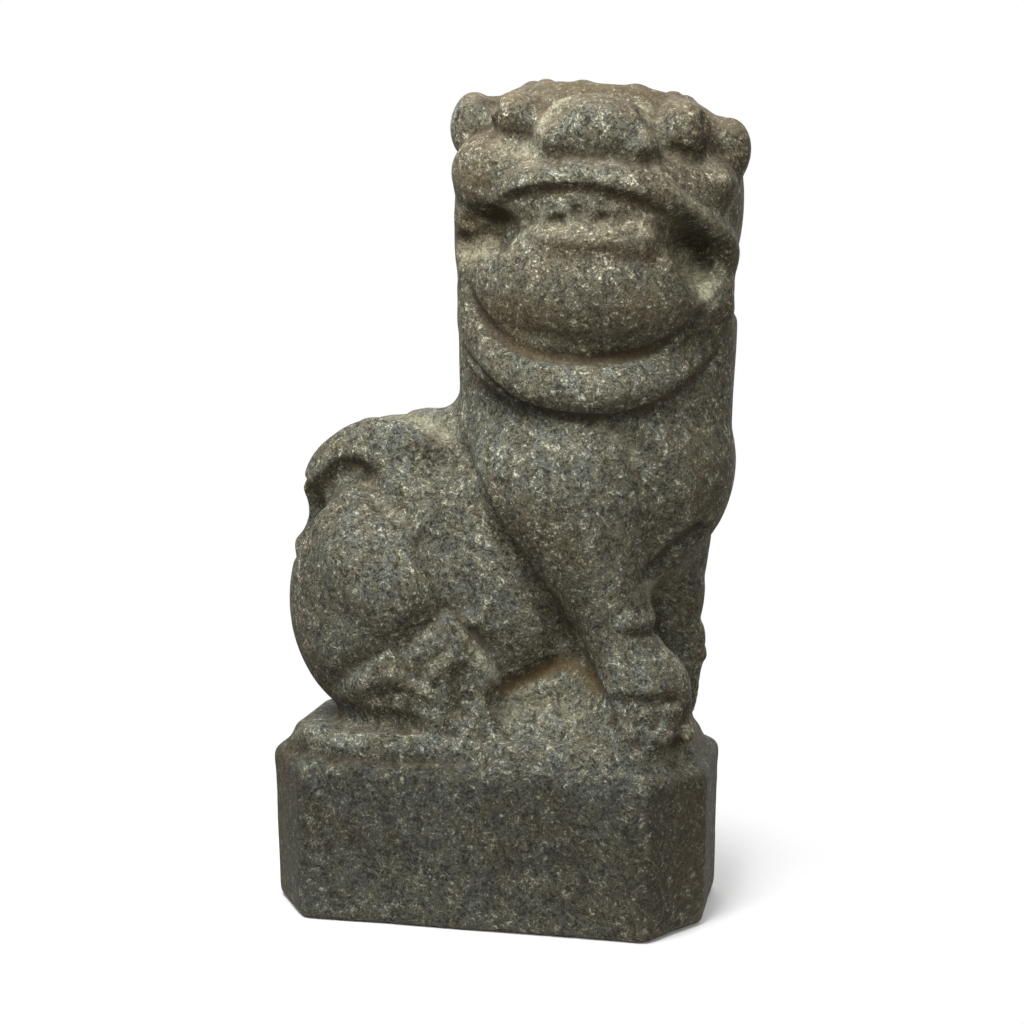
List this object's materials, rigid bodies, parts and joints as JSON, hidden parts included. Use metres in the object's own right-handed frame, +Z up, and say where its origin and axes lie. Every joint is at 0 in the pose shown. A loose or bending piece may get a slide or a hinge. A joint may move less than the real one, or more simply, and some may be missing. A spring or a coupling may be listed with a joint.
{
  "type": "seated guardian lion statue",
  "caption": "Seated stone guardian lion with its head turned to the side and teeth bared, carved with a bevelled plinth.",
  "frame": {"origin": "middle of the plinth's underside", "axes": "+X from the rump to the chest, -Y out of the face's side, +Z up"},
  "size_m": [0.1598, 0.0882, 0.2792],
  "materials": {
    "stone": "rough"
  },
  "bodies": {
    "root": {"back_curls": "stone", "belly_web": "stone", "chest": "stone", "crown_curls": "stone", "far_foreleg": "stone", "far_forepaw": "stone", "far_forepaw_toes": "stone", "far_haunch": "stone", "far_hind_foot": "stone", "far_hind_toes": "stone", "far_tail_plume": "stone", "ground": "stone", "head": "stone", "left_cheek": "stone", "left_ear": "stone", "left_eye": "stone", "lower_jaw": "stone", "muzzle": "stone", "near_foreleg": "stone", "near_forepaw": "stone", "near_forepaw_toes": "stone", "near_haunch": "stone", "near_hind_foot": "stone", "near_hind_toes": "stone", "near_tail_plume": "stone", "neck": "stone", "nose": "stone", "plinth": "stone", "right_cheek": "stone", "right_ear": "stone", "right_eye": "stone", "ruff": "stone", "tail_root": "stone", "tail_tip": "stone", "teeth": "stone", "torso": "stone", "upper_lip": "stone"}
  },
  "joints": []
}
